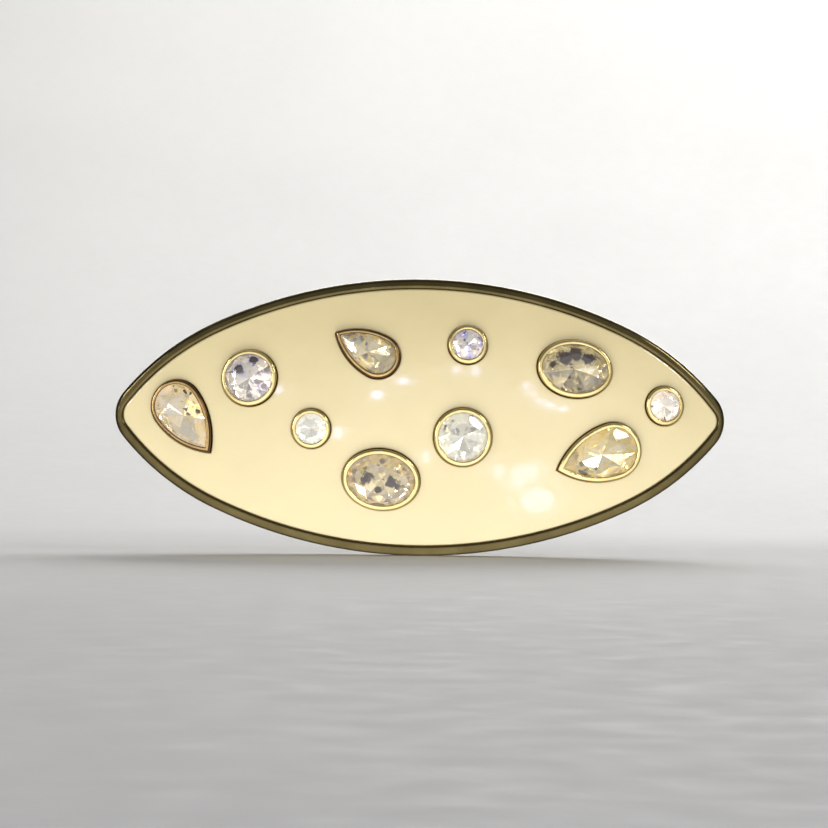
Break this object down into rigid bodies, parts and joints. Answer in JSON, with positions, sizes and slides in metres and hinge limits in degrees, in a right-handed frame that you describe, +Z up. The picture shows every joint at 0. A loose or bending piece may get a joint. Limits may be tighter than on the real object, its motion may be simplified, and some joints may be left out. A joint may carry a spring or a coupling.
{
  "type": "hair clip",
  "caption": "Marquise barrette with a gold-tone rim, cream enamel face, faceted stones in bezel cups and a spring clip on the back.",
  "frame": {"origin": "middle of the hair gap, half way between the clip's bar and the closed arm", "axes": "+X along the clip from the hinge end to the catch end, +Y from the decorated face to the arm, +Z up as worn"},
  "size_m": [0.076, 0.0185, 0.0342],
  "materials": {
    "gold_tray": "polished gold plate, fine wear",
    "cream_enamel": "gloss",
    "gold_bezel": "polished gold plate",
    "crystal": "clear, foil backed",
    "clip_steel": "nickel plate, fine grain",
    "spring_steel": "satin spring strip",
    "pin_steel": "turned, domed ends"
  },
  "bodies": {
    "root": {"frame_tray": "gold_tray", "enamel_face": "cream_enamel", "cup_left_pear": "gold_bezel", "cup_left_large": "gold_bezel", "cup_left_small": "gold_bezel", "cup_top_pear": "gold_bezel", "cup_top_small": "gold_bezel", "cup_low_oval": "gold_bezel", "cup_centre_large": "gold_bezel", "cup_right_oval": "gold_bezel", "cup_right_pear": "gold_bezel", "cup_right_small": "gold_bezel", "stone_left_pear": "crystal", "stone_left_large": "crystal", "stone_left_small": "crystal", "stone_top_pear": "crystal", "stone_top_small": "crystal", "stone_low_oval": "crystal", "stone_centre_large": "crystal", "stone_right_oval": "crystal", "stone_right_pear": "crystal", "stone_right_small": "crystal", "base_bar": "clip_steel", "tension_bow": "spring_steel", "hinge_pin": "pin_steel", "catch_base": "clip_steel", "catch_rivet": "pin_steel", "tray_rivet_hinge_end": "pin_steel", "tray_rivet_catch_end": "pin_steel"},
    "clasp": {"clasp_arm": "clip_steel"},
    "upper_leg": {"catch_leg_upper": "clip_steel"},
    "lower_leg": {"catch_leg_lower": "clip_steel"}
  },
  "joints": [
    {"name": "clasp_hinge", "type": "hinge", "parent": "root", "child": "clasp", "pos_m": [-0.02503, 0.00526, 0], "axis": [0, 0, 1], "range_deg": [0, 100]},
    {"name": "upper_leg_pinch", "type": "hinge", "parent": "root", "child": "upper_leg", "pos_m": [0.02734, -0.00061, 0.0026], "axis": [-0.9823, -0.1876, 0], "range_deg": [0, 7], "stiffness_Nm_per_rad": 0.05},
    {"name": "lower_leg_pinch", "type": "hinge", "parent": "root", "child": "lower_leg", "pos_m": [0.02734, -0.00061, -0.0026], "axis": [0.9823, 0.1876, 0], "range_deg": [0, 7], "stiffness_Nm_per_rad": 0.05}
  ],
  "couplings": [
    {"joint": "lower_leg_pinch", "follows": "upper_leg_pinch", "ratio": 1}
  ]
}
